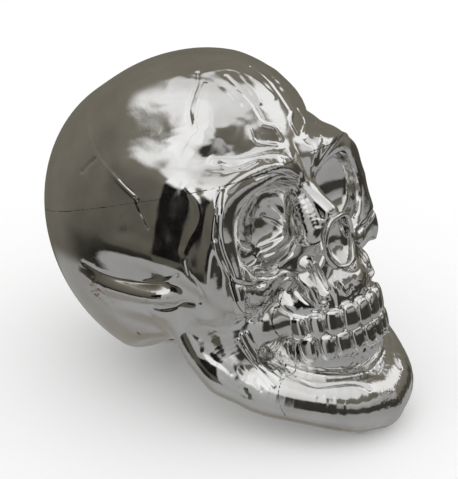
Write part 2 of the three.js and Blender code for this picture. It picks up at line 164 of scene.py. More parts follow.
# Rest pads with their bosses, and the stopper with its collar
FLOOR_CLEARANCE = 0.6
PAD_RADIUS = 3.5
PAD_HEIGHT = 1.1
PAD_ROUNDING = 0.35
PAD_CHAMFER = 0.1
PAD_DISH = ((0, 0.12), (2.2, 0.1), (3.2, 0))
PAD_SIDES = 48
SEAT_RADIUS = 3.8
SEAT_ROOF = 1.4
BOSS_RADIUS = 5.3
BOSS_HEIGHT = 6.0
BOSS_BLEND = 1.2
PAD_PLACES = {
    "pad_chin_left": (7.5, -80.32),
    "pad_chin_right": (-7.5, -80.32),
    "pad_back": (0, 37.44),
}
PADS_OF_ONE_SIDE = [PAD_PLACES["pad_chin_left"], PAD_PLACES["pad_back"]]
STOPPER_Y = -6.01
COLLAR_FOOT = 29.5
COLLAR_TOP = 43.5
COLLAR_RADIUS = 13.9
POCKET_RADIUS = 11.5
POCKET_ROOF = 32.1
COLLAR_BLEND = 1.5
FLANGE_RADIUS = 11.2
FLANGE_HEIGHT = 2
FLANGE_ROUNDING = 0.4
FLANGE_CHAMFER = 0.2
DISH_RADIUS = 9.2
DISH_DEPTH = 0.3
DIMPLE_RADIUS = 2.2
DIMPLE_DEPTH = 0.9
STEM_RADIUS = 8.7
STEM_LEAD = 1
BORE_RADIUS = 6.5
BORE_DEPTH = 4
STOPPER_SLOPE = 0.6
STOPPER_SIDES = 64

# Masses in the order in which they are joined or cut: a name, how it joins, how softly, its kind and sizes.
# Places and sizes are shares of the skull's size. A ball has a place, its radii and its pitch in degrees, a
# plate a place, its half sizes and how it leans along Y and Z, and a limb's rows hold a place and a radius.
MASS_SHARES = [
    ("cranium", "add", 0, "ball", (0, 0.149, 0.451), (1, 0.309, 0.477), 36),
    ("parietal lobe", "add", 0.081, "ball", (0, 0.076, 0.779), (0.782, 0.232, 0.218), 0),
    ("frontal block", "add", 0.054, "ball", (0, -0.026, 0.617), (0.79, 0.165, 0.181), 0),
    ("column behind the orbit", "add", 0.04, "limb", [
     (0.468, -0.103, 0.691, 0.067), (0.565, -0.129, 0.651, 0.067), (0.645, -0.148, 0.591, 0.067),
     (0.68, -0.17, 0.523, 0.067), (0.685, -0.19, 0.47, 0.067)]),
    ("temple plate", "add", 0.04, "limb", [
     (0.532, -0.098, 0.705, 0.054), (0.605, -0.103, 0.658, 0.06), (0.65, -0.118, 0.591, 0.067),
     (0.7, -0.146, 0.523, 0.067), (0.715, -0.165, 0.47, 0.06)]),
    ("glabella slope", "add", 0.054, "ball", (0, -0.103, 0.738), (0.452, 0.088, 0.114), 0),
    ("cheek plate", "add", 0.04, "limb", [
     (0.653, -0.17, 0.403, 0.067), (0.702, -0.124, 0.383, 0.064), (0.75, -0.062, 0.369, 0.06),
     (0.806, 0.021, 0.362, 0.054), (0.806, 0.113, 0.369, 0.054)]),
    ("hollow of the base", "cut", 0.047, "ball", (0, -0.124, -0.054), (2.419, 0.289, 0.315), 0),
    ("shoulder of the crown", "cut", 0.06, "ball", (1.952, -0.04, 1.232), (1.613, 0.516, 0.671), 0),
    ("band beside the orbit", "add", 0.03, "plate",
     (0.718, -0.152, 0.604), (0.129, 0.039, 0.127), (-0.12, -0.25)),
    ("temple wall behind the band", "add", 0.04, "plate",
     (0.662, -0.082, 0.63), (0.194, 0.067, 0.127), (0.2, -0.27)),
    ("temple wall", "add", 0.04, "plate",
     (0.713, 0.026, 0.637), (0.194, 0.103, 0.134), (0.08, -0.27)),
    ("foot of the temple wall", "add", 0.04, "plate",
     (0.72, -0.034, 0.463), (0.194, 0.108, 0.087), (0.12, 0.14)),
    ("brow", "add", 0.047, "limb", [
     (0, -0.17, 0.711, 0.044), (0.129, -0.186, 0.742, 0.044), (0.29, -0.191, 0.758, 0.04),
     (0.452, -0.18, 0.735, 0.04), (0.565, -0.155, 0.705, 0.04), (0.613, -0.134, 0.685, 0.034)]),
    ("edge of the orbit", "add", 0.02, "limb", [
     (0.548, -0.129, 0.728, 0.02), (0.653, -0.155, 0.715, 0.02), (0.708, -0.174, 0.681, 0.02),
     (0.732, -0.186, 0.617, 0.02), (0.75, -0.205, 0.56, 0.02), (0.765, -0.221, 0.507, 0.02),
     (0.78, -0.236, 0.456, 0.017), (0.772, -0.237, 0.421, 0.016)]),
    ("roll", "add", 0.02, "orbit roll"),
    ("cheek bone", "add", 0.02, "limb", [
     (0.685, -0.204, 0.443, 0.054), (0.581, -0.211, 0.436, 0.054), (0.419, -0.216, 0.456, 0.047)]),
    ("maxilla", "add", 0.04, "ball", (0, -0.216, 0.456), (0.339, 0.113, 0.134), 0),
    ("premaxilla", "add", 0.034, "limb", [
     (0, -0.289, 0.47, 0.06), (0, -0.32, 0.416, 0.081), (0.145, -0.294, 0.416, 0.067)]),
    ("nasolabial bar", "add", 0.02, "limb", [
     (0.274, -0.247, 0.497, 0.02), (0.29, -0.299, 0.456, 0.02), (0.29, -0.33, 0.409, 0.02)]),
    ("nasal bone", "add", 0.027, "limb", [
     (0, -0.186, 0.698, 0.037), (0, -0.227, 0.658, 0.034), (0, -0.278, 0.621, 0.034)]),
    ("side of the nose", "add", 0.027, "limb", [
     (0.081, -0.216, 0.644, 0.04), (0.15, -0.268, 0.557, 0.044), (0.185, -0.284, 0.49, 0.044)]),
    ("upper gum", "add", 0.027, "mouth limb", [
     (0, 0.108, 0.054, 0.117), (0.097, 0.124, 0.054, 0.117), (0.177, 0.186, 0.054, 0.104),
     (0.226, 0.258, 0.054, 0.094)]),
    ("lower gum", "add", 0.027, "mouth limb", [
     (0, 0.108, -0.06, 0.124), (0.097, 0.124, -0.06, 0.124), (0.194, 0.186, -0.06, 0.111),
     (0.242, 0.258, -0.06, 0.101)]),
    ("cheek wall", "add", 0.034, "limb", [
     (0.419, -0.216, 0.322, 0.087), (0.484, -0.155, 0.309, 0.087)]),
    ("jaw body", "add", 0.027, "limb", [
     (0, -0.43, 0.082, 0.084), (0.226, -0.407, 0.101, 0.081), (0.452, -0.335, 0.124, 0.07),
     (0.581, -0.253, 0.144, 0.074), (0.661, -0.175, 0.178, 0.067)]),
    ("jaw branch", "add", 0.04, "limb", [
     (0.661, -0.175, 0.178, 0.067), (0.694, -0.119, 0.228, 0.067), (0.694, -0.072, 0.322, 0.067)]),
    ("jaw plate", "add", 0.04, "limb", [
     (0.553, -0.155, 0.295, 0.081), (0.57, -0.187, 0.242, 0.067)]),
    ("arch roll", "add", 0.02, "limb", [
     (0.75, -0.13, 0.463, 0.023), (0.85, -0.088, 0.427, 0.024), (0.925, -0.052, 0.413, 0.024),
     (0.948, 0.015, 0.4, 0.024), (0.95, 0.103, 0.392, 0.022), (0.93, 0.165, 0.4, 0.017)]),
    ("skull base", "add", 0.054, "limb", [
     (0.323, 0.103, 0.309, 0.161), (0.419, 0, 0.349, 0.161), (0.387, -0.072, 0.362, 0.148)]),
    ("orbit", "cut", 0.008, "orbit cup"),
    ("bridge of the nose", "add", 0.01, "limb", [
     (0, -0.196, 0.678, 0.04), (0, -0.227, 0.611, 0.06), (0, -0.247, 0.564, 0.067)]),
    ("rim line", "emboss", 0, "orbit rim"),
    ("nose opening", "cut", 0.01, "ball", (0, -0.34, 0.547), (0.161, 0.062, 0.074), -30),
    ("slot by the canine", "cut", 0.006, "limb", [
     (0.223, -0.289, 0.513, 0.013), (0.25, -0.316, 0.466, 0.018), (0.282, -0.343, 0.423, 0.013)]),
    ("ring of the nose", "add", 0.005, "limb", [
     (-0.05, -0.309, 0.624, 0.008), (0.081, -0.308, 0.617, 0.008), (0.14, -0.309, 0.577, 0.008),
     (0.147, -0.313, 0.537, 0.008), (0.121, -0.323, 0.503, 0.009), (0.065, -0.333, 0.483, 0.009),
     (-0.05, -0.34, 0.477, 0.009)]),
    ("teeth", "add", 0.004, "teeth"),
    ("hollow of the jaw", "cut", 0.034, "ball", (0, -0.216, -0.013), (0.387, 0.175, 0.134), 0),
    ("ground", "cut", 0.007, "ground"),
]

# Lines in the surface: a name, a height that is below zero for a groove and a width in millimetres, and the
# points that the line runs through, read off the picture in its columns and rows
LINES = [
    ("forehead crack", -0.3, 0.9, [(198, 73), (197, 84), (192, 98), (189, 110), (191, 124)]),
    ("ridge by the crack", 0.25, 1.0, [(205, 84), (201, 92), (197, 104), (195, 118)]),
    ("forehead crack", -0.3, 0.9, [(226, 76), (238, 88), (248, 98), (256, 108), (262, 118)]),
    ("upper wrinkle", 0.25, 1.2, [(206, 73), (222, 69), (238, 71), (252, 77), (264, 87), (274, 97)]),
    ("forehead dent", -0.35, 2.2, [(224, 86), (231, 92)]),
    ("forehead dent", -0.3, 2.2, [(237, 99), (243, 103)]),
    ("temple crack", 0.45, 0.9, [
     (88, 126), (91, 141), (97, 154), (104, 165), (114, 176), (125, 188), (137, 199)]),
    ("end of the temple crack", -0.35, 0.7, [(135, 198), (139, 209), (144, 219), (148, 228)]),
    ("nick behind the temple", -0.35, 0.9, [(82, 172), (89, 164), (95, 159)]),
    ("nick at the back", -0.35, 0.9, [(80, 110), (88, 100)]),
    ("glabella wrinkle", 0.45, 0.8, [(292, 112), (291, 121), (297, 133)]),
    ("glabella wrinkle", 0.45, 0.8, [(298, 109), (305, 121), (304, 133)]),
    ("glabella groove", -0.5, 0.9, [(304, 182), (298, 169), (291, 158), (285, 150)]),
    ("fold over the brow", 0.8, 1.5, [
     (213, 161), (235, 162), (255, 158), (275, 155), (291, 160), (300, 172)]),
    ("groove over the brow", -0.5, 1.0, [(221, 163), (240, 169), (255, 163)]),
    ("pad of the brow", 0.7, 1.5, [(228, 189), (240, 179), (255, 171), (272, 166), (288, 168), (297, 176)]),
    ("groove under the brow", -0.4, 0.8, [(256, 178), (268, 174), (283, 173), (298, 178)]),
    ("front edge of the band", -0.9, 1.2, [
     (220, 192), (219, 215), (218, 238), (222, 256), (228, 270), (234, 285), (238, 300), (240, 313)]),
    ("lip of the band", 0.5, 0.9, [(215, 243), (219, 256), (225, 269), (231, 281)]),
    ("edge of the temple hollow", 0.3, 1.6, [
     (188, 190), (196, 201), (200, 214), (197, 227), (189, 239), (184, 251)]),
    ("crease over the arch", -0.3, 1.0, [
     (84, 263), (104, 274), (125, 281), (145, 283), (163, 282), (177, 275)]),
    ("crease under the arch", -0.3, 1.0, [(146, 301), (155, 308), (170, 308), (182, 302), (193, 303)]),
    ("end of the arch", -0.35, 1.0, [(186, 262), (189, 275), (196, 283), (203, 295), (200, 302)]),
    ("crease of the base", -0.2, 1.9, [
     (112, 304), (133, 304), (147, 311), (158, 321), (167, 323), (177, 317), (191, 315), (203, 324),
     (218, 332), (238, 331)]),
    ("top of the cheek facet", -0.8, 1.1, [(236, 283), (250, 286), (264, 283)]),
    ("foot of the cheek facet", -0.9, 1.3, [(240, 316), (249, 318), (258, 317)]),
    ("ridge of the cheek", 0.6, 0.8, [(290, 278), (279, 285), (269, 296), (262, 308), (260, 319)]),
    ("nasolabial bar", 0.9, 1.5, [(299, 281), (311, 287), (325, 296)]),
    ("slot by the canine", -1.5, 2.0, [(306, 262), (314, 273), (323, 285), (330, 297), (333, 308)]),
    ("foot of the bar", -0.7, 1.1, [(297, 291), (306, 301), (318, 308), (330, 309)]),
    ("foot of the maxilla", -1.0, 1.5, [(277, 303), (286, 310), (297, 314), (309, 314), (319, 313)]),
    ("mark under the nose", -0.3, 0.7, [(338, 283), (346, 294), (352, 286)]),
    ("oblique ridge", 0.6, 0.7, [(247, 333), (256, 347), (268, 361), (284, 374)]),
    ("oblique ridge", 0.7, 0.7, [(242, 335), (250, 350), (262, 366), (279, 379)]),
    ("oblique ridge", 0.6, 0.7, [(239, 340), (248, 355), (260, 371), (274, 386)]),
    ("gum line", -0.8, 0.9, [
     (265, 348), (272, 359), (281, 366), (289, 373), (300, 380), (315, 386), (331, 385), (349, 383),
     (363, 385), (369, 389)]),
    ("dent of the jaw", -0.22, 1.2, [(191, 333), (199, 338)]),
    ("dent of the jaw", -0.26, 1.4, [(204, 351), (212, 359)]),
    ("dent of the jaw", -0.22, 1.2, [(215, 361), (223, 366), (231, 373)]),
    ("dent of the jaw", -0.18, 1.2, [(222, 376), (232, 385)]),
    ("dent of the jaw", -0.22, 1.2, [(240, 368), (248, 379)]),
    ("dent of the jaw", -0.26, 1.4, [(241, 388), (247, 395)]),
    ("dent of the jaw", -0.22, 1.2, [(256, 381), (261, 390)]),
    ("streak on the jaw", 0.1, 1.8, [(219, 336), (226, 352), (236, 366)]),
    ("streak on the jaw", -0.1, 1.8, [(226, 336), (233, 350), (243, 362)]),
    ("crease in the cup", 0.35, 1.1, [(259, 247), (269, 243), (281, 237)]),
    ("crease in the cup", 0.35, 1.1, [(260, 258), (273, 252), (290, 244)]),
    ("crease in the cup", 0.35, 1.1, [(262, 267), (276, 262), (290, 254)]),
    ("lump in the cup", 0.5, 1.6, [(270, 203), (280, 211), (285, 217)]),
    ("lump in the cup", 0.4, 1.3, [(290, 199), (294, 207), (293, 215)]),
    ("groove in the cup", -0.5, 1.2, [(264, 216), (274, 220), (283, 226)]),
]

# Crumpled areas: a name, a height, the size of the crumples, the middle in the picture and the radius
CRUMPLES = [
    ("cup", 0.04, 2.4, (256, 236), 10),
    ("bridge of the nose", 0.03, 1.8, (318, 215), 9),
    ("nose opening", 0.05, 1.5, (342, 240), 6),
    ("front gum", 0.08, 1.4, (366, 276), 7),
    ("lower gum", 0.16, 1.2, (366, 357), 9),
    ("chin", 0.04, 0.9, (388, 396), 8),
    ("side of the jaw", 0.02, 3.0, (218, 362), 16),
    ("cheek", 0.1, 1.8, (262, 298), 9),
    ("brow", 0.06, 0.9, (270, 168), 8),
    ("temple", 0.06, 4.5, (130, 215), 24),
    ("forehead", 0.07, 3.0, (215, 105), 32),
    ("knot behind the arch", 0.2, 1.4, (97, 292), 6),
]

# The two waves that make a crumple: the pace of each, how far it bends, and the paces of the bend
CRUMPLE_WAVES = ((1.9, 1.4, 1.3, 0.7), (2.1, 1.2, 1.7, -0.9))
CRUMPLE_REACH = 2

# Red scuffs on the right side: a place in millimetres and a radius
SCUFFS = [((-61.2, 24.0, 54.1), 5.5), ((-60.5, 19.0, 58.0), 3.5), ((-52.4, 9.2, 34.8), 2.5)]
SCUFF_CORE = 0.4
SCUFF_COLOUR = (0.3, 0.01, 0.03, 1)

# Plating, rubber and plastic
CHROME_COLOURS = [(0.35, (0.80, 0.79, 0.77)), (0.65, (0.90, 0.90, 0.89))]
CHROME_ROUGHNESS = (0.05, 0.13)
PORE_SCALE = 2.5

# Studio: the floor, and how the darker greys are warmed
WHITE = (1, 1, 1, 1)
FLOOR_COLOUR = (0.93, 0.93, 0.93, 1)
FLOOR_ROUGHNESS = 0.9
FLOOR_GLOW = 0.09
FLOOR_REACH = 4000
WARM_BELOW = 0.32
WARM_SPAN = 0.1
WARM_GREEN = 0.07
WARM_BLUE = 0.24

# Greys that the plating mirrors, for spans of azimuth in degrees from the face's front towards the skull's
# left side: the span's ends, how soft each end is, and rows of elevation and brightness. Each span lies
# over the ones before it, and all lie over the greys behind them.
BEHIND_SECTORS = [
    (-90, 0.2), (-55, 0.26), (-32, 0.3), (-27, 0.13), (-18, 0.15), (0, 0.16), (52, 0.19), (62, 0.7),
    (90, 0.82)]
SECTORS = [
    (-150, -112, 20, 3, [
     (-90, 0.24), (-55, 0.33), (-31, 0.34), (-26, 0.02), (-18, 0.03), (-8, 0.09), (12, 0.12), (36, 0.17),
     (46, 0.85), (90, 0.85)]),
    (-114, -90, 3, 3, [
     (-90, 0.26), (-52, 0.35), (-31, 0.35), (-27, 0.09), (-12, 0.09), (-4, 0.006), (25, 0.006),
     (35, 0.95), (90, 0.9)]),
    (-90, -58, 3, 4, [
     (-90, 0.28), (-52, 0.35), (-30, 0.34), (-10, 0.36), (20, 0.42), (28, 0.6), (34, 0.95), (90, 0.9)]),
    (-61, -30, 6, 6, [
     (-90, 0.28), (-52, 0.35), (-20, 0.33), (-15, 0.03), (22, 0.03), (31, 0.7), (60, 0.85), (90, 0.85)]),
    (-34, 48, 6, 6, [
     (-90, 0.28), (-52, 0.35), (-16, 0.32), (-10, 0.04), (5, 0.04), (11, 0.3), (24, 0.4), (30, 0.12),
     (42, 0.15), (50, 0.7), (90, 0.8)]),
    (48, 92, 6, 6, [
     (-90, 0.28), (-52, 0.35), (-20, 0.33), (-14, 0.06), (-2, 0.06), (6, 0.16), (24, 0.2), (30, 0.92),
     (48, 0.94), (56, 0.7), (90, 0.8)]),
]


# Places and small helpers


def place(shares):
    return np.array([shares[0] * HALF_WIDTH, shares[1] * SKULL_LENGTH, shares[2] * SKULL_HEIGHT])


ORBIT = place(ORBIT_PLACE_SHARES)
BITE = place(BITE_PLACE_SHARES)
CROWN_SEAM = CROWN_SEAM_SHARE * SKULL_HEIGHT
FACE_SEAM = FACE_SEAM_SHARE * SKULL_LENGTH


def joined(a, b, blend):
    mix = np.clip(0.5 + 0.5 * (b - a) / blend, 0, 1)
    return b + (a - b) * mix - blend * mix * (1 - mix)


def carved(a, b, blend):
    return -joined(-a, -b, blend)


def bump(distance, width):
    return np.exp(-((distance / width) ** 2))


def tilted(a, b, angle):
    return a * math.cos(angle) - b * math.sin(angle), a * math.sin(angle) + b * math.cos(angle)


# Distance functions: each takes three arrays of places in millimetres and gives distances, below zero inside


def ball(x, y, z, centre, radii, pitch):
    along, up = tilted(y - centre[1], z - centre[2], pitch)
    a, b, c = (x - centre[0]) / radii[0], along / radii[1], up / radii[2]
    reach = np.sqrt(a * a + b * b + c * c)
    slope = np.sqrt((a / radii[0]) ** 2 + (b / radii[1]) ** 2 + (c / radii[2]) ** 2)
    return reach * (reach - 1) / (slope + TINY)


def smoothed(rows, pieces):
    """More rows on a smooth curve through the given ones."""
    rows = [2 * rows[0] - rows[1], *rows, 2 * rows[-1] - rows[-2]]
    fine = []
    for a, b, c, d in zip(rows, rows[1:], rows[2:], rows[3:]):
        for t in np.arange(pieces) / pieces:
            curve = 2 * b + (c - a) * t + (2 * a - 5 * b + 4 * c - d) * t * t
            fine.append((curve + (3 * b - a - 3 * c + d) * t**3) / 2)
    return [*fine, rows[-2]]


def limb(x, y, z, rows):
    """A chain of tapered bones. Far from it, the distance to its box does."""
    reach = np.stack(rows)
    low = (reach[:, :3] - reach[:, 3:]).min(0)
    high = (reach[:, :3] + reach[:, 3:]).max(0)
    beyond = [np.maximum(np.maximum(low[n] - p, p - high[n]), 0) for n, p in enumerate((x, y, z))]
    distance = np.sqrt(beyond[0] ** 2 + beyond[1] ** 2 + beyond[2] ** 2)
    near = distance < LIMB_REACH
    if near.any():
        distance[near] = bones(x[near], y[near], z[near], rows)
    return distance


def bones(x, y, z, rows):
    distance = None
    for start, end in zip(rows[:-1], rows[1:]):
        run = end[:3] - start[:3]
        dx, dy, dz = x - start[0], y - start[1], z - start[2]
        share = np.clip((dx * run[0] + dy * run[1] + dz * run[2]) / (run @ run), 0, 1)
        gap = np.sqrt((dx - run[0] * share) ** 2 + (dy - run[1] * share) ** 2 + (dz - run[2] * share) ** 2)
        bone = gap - start[3] - (end[3] - start[3]) * share
        distance = bone if distance is None else np.minimum(distance, bone)
    return distance


def rod(x, y, z, centre, radius, foot, top):
    middle, half = (foot + top) / 2, (top - foot) / 2
    out, over = np.hypot(x - centre[0], y - centre[1]) - radius, np.abs(z - middle) - half
    return np.minimum(np.maximum(out, over), 0) + np.hypot(np.maximum(out, 0), np.maximum(over, 0))


def with_mounts(distance, x, y, z):
    for centre in PADS_OF_ONE_SIDE:
        boss = rod(x, y, z, centre, BOSS_RADIUS, -BOSS_HEIGHT, BOSS_HEIGHT)
        distance = joined(distance, boss, BOSS_BLEND)
    collar = rod(x, y, z, (0, STOPPER_Y), COLLAR_RADIUS, COLLAR_FOOT, COLLAR_TOP)
    distance = joined(distance, collar, COLLAR_BLEND)
    pocket = rod(x, y, z, (0, STOPPER_Y), POCKET_RADIUS, 0, POCKET_ROOF)
    distance = np.maximum(distance, -pocket)
    return np.maximum(distance, FLOOR_CLEARANCE - z)


def with_seats(distance, x, y, z):
    for centre in PADS_OF_ONE_SIDE:
        seat = rod(x, y, z, centre, SEAT_RADIUS, -BOSS_HEIGHT, SEAT_ROOF)
        distance = np.maximum(distance, -seat)
    return distance


def to_mouth(x, y, z):
    return x, *tilted(y - BITE[1], z - BITE[2], BITE_TILT)


def plate(x, y, z, centre, half, leans):
    """A rounded slab that stands along Y, with its outer face leaning along Y and Z."""
    along, up = y - centre[1], z - centre[2]
    out = x - centre[0] - leans[0] * along - leans[1] * up
    powers = [(part / size) ** PLATE_POWER for part, size in zip((out, along, up), half)]
    return (sum(powers) ** (1 / PLATE_POWER) - 1) * min(half)


def tooth(x, y, z, centre, half, turn, root):
    """A rounded tooth, square to the arch, that narrows towards its root."""
    up = z - centre[2]
    across, along = tilted(x - centre[0], y - centre[1], -turn)
    taper = 1 + TOOTH_TAPER * np.clip(root * up / half[2], -1, 1)
    a = np.abs(across) / (half[0] * taper)
    b = np.abs(along) / half[1]
    c = np.abs(up) / half[2]
    reach = (a**TOOTH_POWER + b**TOOTH_POWER + c**TOOTH_POWER) ** (1 / TOOTH_POWER)
    return (reach - 1) * min(half) * TOOTH_NEARNESS


def tooth_row(mouth, side, arch_radius, height, row):
    distance = None
    for angle, half_width in row:
        turn = math.radians(angle)
        beyond = max(0, angle - BACK_TEETH_ANGLE) / BACK_TEETH_SPAN
        radius = arch_radius * (1 + BACK_TEETH_WIDER * beyond) - TOOTH_DEPTH
        middle = arch_radius * (ARCH_CENTRE_SHARE + BACK_TEETH_FURTHER * beyond)
        over = side * height * (TOOTH_OFFSET_SHARE - BACK_TEETH_CLOSER * beyond)
        centre = (radius * math.sin(turn), middle - radius * math.cos(turn), over)
        own = tooth(*mouth, centre, (half_width, TOOTH_DEPTH + TOOTH_SEAT, height), turn, -side)
        distance = own if distance is None else joined(distance, own, TOOTH_BLEND)
    return distance


def orbit_measures(x, y, z):
    """How far out of the socket's ring, and how far behind its leaning plane."""
    across, up = x - ORBIT[0], z - ORBIT[2]
    angle = np.arctan2(up, across)
    droop = ORBIT_DROOP_SHARE * np.cos(angle - ORBIT_DROOP_ANGLE)
    square = ORBIT_SQUARE_SHARE * np.cos(2 * (angle + ORBIT_SQUARE_ANGLE))
    corner = ORBIT_CORNER_SHARE * bump(angle - ORBIT_CORNER_ANGLE, ORBIT_CORNER_WIDTH)
    ring = np.hypot(across, up) - ORBIT_RADIUS * (1 + droop + square + corner)
    twist = ORBIT_TWIST_SHARE * np.maximum(across, 0) * np.maximum(up, 0) / ORBIT_RADIUS
    depth = y - ORBIT[1] - ORBIT_LEAN_SHARE * across - ORBIT_RAKE_SHARE * up - twist
    return ring, depth


def socket(x, y, z, ring, depth):
    cup = ball(x, y, z, ORBIT, np.array(ORBIT_CUP_SHARES) * ORBIT_RADIUS, 0)
    return np.minimum(carved(cup, ring, ORBIT_BLEND), np.maximum(ring, depth))


def rim_line(ring, depth):
    fade = np.clip(1 - np.abs(depth - RIM_LINE_BACK) / RIM_LINE_REACH, 0, 1)
    return RIM_LINE_HEIGHT * bump(ring + RIM_LINE_INSET, RIM_LINE_WIDTH) * fade


def mass_list():
    masses = []
    for name, join, blend, kind, *sizes in MASS_SHARES:
        if kind == "ball":
            sizes = (place(sizes[0]), place(sizes[1]), math.radians(sizes[2]))
        elif kind == "plate":
            sizes = (place(sizes[0]), place(sizes[1]), sizes[2])
        elif kind in ("limb", "mouth limb"):
            rows = [np.array([*place(row), row[3] * SKULL_HEIGHT]) for row in sizes[0]]
            sizes = [smoothed(rows, LIMB_PIECES)]
        masses.append((name, join, blend * SKULL_HEIGHT, kind, sizes))
    return masses


MASSES = mass_list()
SIMPLE_KINDS = {"ball": ball, "plate": plate, "limb": limb}

# What the plain skull goes without, besides the lines and crumples
FINE_MASSES = ("rim line", "ring of the nose", "teeth")


def camera_axes():
    """The unit ways towards the viewer, to the right and up."""
    azimuth, elevation = math.radians(VIEW_AZIMUTH), math.radians(VIEW_ELEVATION)
    away = np.array([
        math.sin(azimuth) * math.cos(elevation),
        -math.cos(azimuth) * math.cos(elevation),
        math.sin(elevation),
    ])
    right = np.array([math.cos(azimuth), math.sin(azimuth), 0])
    return away, right, np.cross(away, right)


def places_seen(picture_points):
    """Where the lines of sight through points of the picture meet the plain skull, mirrored to x > 0."""
    away, right, above = camera_axes()
    columns, rows = np.array(picture_points, float).T
    ways = -away + np.outer((columns - PICTURE_WIDTH / 2) / FOCAL_LENGTH, right)
    ways += np.outer((PICTURE_HEIGHT / 2 - rows) / FOCAL_LENGTH, above)
    ways /= np.linalg.norm(ways, axis=1)[:, None]
    places = np.array([0, 0, VIEW_HEIGHT]) + away * VIEW_DISTANCE + ways * (VIEW_DISTANCE - SKULL_LENGTH)
    for _ in range(SIGHT_STEPS):
        stride = plain_distance(*places.T) * SIGHT_STRIDE
        places = places + ways * np.clip(stride, -LONGEST_STEP_BACK, LONGEST_STEP_AHEAD)[:, None]
    return places * (np.sign(places[:, :1]) * np.array([1, 0, 0]) + np.array([0, 1, 1]))


def placed_lines():
    placed = []
    start = 0
    every_place = places_seen([point for line in LINES for point in line[3]])
    for _, height, width, points in LINES:
        own_places = every_place[start : start + len(points)]
        start += len(points)
        rows = smoothed([np.array([*spot, 0]) for spot in own_places], LINE_PIECES)
        reach = LINE_REACH * width
        low, high = np.min(rows, 0)[:3] - reach, np.max(rows, 0)[:3] + reach
        placed.append((height, width, rows, low, high))
    return placed


def wave(along, across, over, pace, bend, across_pace, over_pace):
    return np.sin(pace * along + bend * np.sin(across_pace * across + over_pace * over))


def crumple(x, y, z, size):
    """Waves that cross each other, between -1 and 1."""
    a, b, c = x / size, y / size, z / size
    return wave(a, b, c, *CRUMPLE_WAVES[0]) * wave(c, a, b, *CRUMPLE_WAVES[1])


def within(places, low, high):
    """Which places lie in a box, given as three arrays."""
    inside = [(part > low[n]) & (part < high[n]) for n, part in enumerate(places)]
    return inside[0] & inside[1] & inside[2]


def relief(x, y, z):
    """How far the lines and the crumpled areas rise above the plain surface."""
    rise = np.zeros(x.shape)
    for height, width, rows, low, high in PLACED_LINES:
        near = within((x, y, z), low, high)
        if near.any():
            rise[near] += height * bump(bones(x[near], y[near], z[near], rows), width)
    for height, size, centre, radius in PLACED_CRUMPLES:
        gap = (x - centre[0]) ** 2 + (y - centre[1]) ** 2 + (z - centre[2]) ** 2
        near = gap < (CRUMPLE_REACH * radius) ** 2
        if near.any():
            fade = np.exp(-gap[near] / radius**2)
            rise[near] += height * fade * crumple(x[near], y[near], z[near], size)
    return rise


def skull_distance(x, y, z, plain=False):
    side = np.abs(x)
    ring, depth = orbit_measures(side, y, z)
    mouth = to_mouth(side, y, z)
    distance = None
    for name, join, blend, kind, sizes in MASSES:
        if plain and name in FINE_MASSES:
            continue
        if kind in SIMPLE_KINDS:
            own = SIMPLE_KINDS[kind](side, y, z, *sizes)
        elif kind == "mouth limb":
            own = limb(*mouth, *sizes)
        elif kind == "orbit roll":
            own = np.hypot(ring - ORBIT_ROLL_OUT, depth - ORBIT_ROLL_BACK) - ORBIT_ROLL_RADIUS
        elif kind == "orbit cup":
            own = socket(side, y, z, ring, depth)
        elif kind == "orbit rim":
            own = rim_line(ring, depth)
        elif kind == "teeth":
            own = np.minimum(*(tooth_row(mouth, *row) for row in TEETH))
        elif kind == "ground":
            distance = with_mounts(distance, side, y, z)
            own = z - FLOOR_CLEARANCE
        if distance is None:
            distance = own
        elif join == "add":
            distance = joined(distance, own, blend)
        elif join == "cut":
            distance = carved(distance, -own, blend)
        else:
            distance = distance - own
    if not plain:
        distance = distance - relief(side, y, z)
    return with_seats(distance, side, y, z)


def plain_distance(x, y, z):
    return skull_distance(x, y, z, plain=True)


PLACED_LINES = placed_lines()
CRUMPLE_PLACES = places_seen([area[3] for area in CRUMPLES])
PLACED_CRUMPLES = [
    (height, size, middle, radius)
    for middle, (_, height, size, _, radius) in zip(CRUMPLE_PLACES, CRUMPLES)
]


def slope(function, points, reach):
    """Unit gradient and value of a distance function at points."""
    value = function(*points.T)
    steps = [function(*(points + reach * axis).T) - value for axis in np.eye(3)]
    gradient = np.stack(steps, 1) / reach
    return gradient / (np.linalg.norm(gradient, axis=1)[:, None] + LEAST_SLOPE), value


# Meshes: a surface net over the distance function, in the half where x is not below zero


def corner_of(nodes, corner, cells):
    """A view of a lattice's values at one corner of every cell."""
    return nodes[tuple(slice(start, start + count) for start, count in zip(corner, cells.shape))]


def lattice_values(origin, counts, step):
    """Distances at the lattice points near the surface; elsewhere not a number."""
    blocks = -(-(counts - 1) // BLOCK)
    index = np.argwhere(np.ones(blocks, bool))
    centres = origin + (index + 0.5) * BLOCK * step
    near = np.abs(skull_distance(*centres.T)) < BLOCK_REACH * BLOCK * step
    cells = np.zeros([part for count in blocks for part in (count, BLOCK)], bool)
    chosen = index[near]
    cells[chosen[:, 0], :, chosen[:, 1], :, chosen[:, 2], :] = True
    cells = cells.reshape(*(blocks * BLOCK))
    nodes = np.zeros(np.array(cells.shape) + 1, bool)
    for corner in np.ndindex(2, 2, 2):
        corner_of(nodes, corner, cells)[:] |= cells
    places = np.argwhere(nodes)
    values = np.full(nodes.shape, np.nan, np.float32)
    for part in np.array_split(places, max(1, len(places) // BATCH)):
        values[tuple(part.T)] = skull_distance(*(origin + part * step).T)
    return values, cells


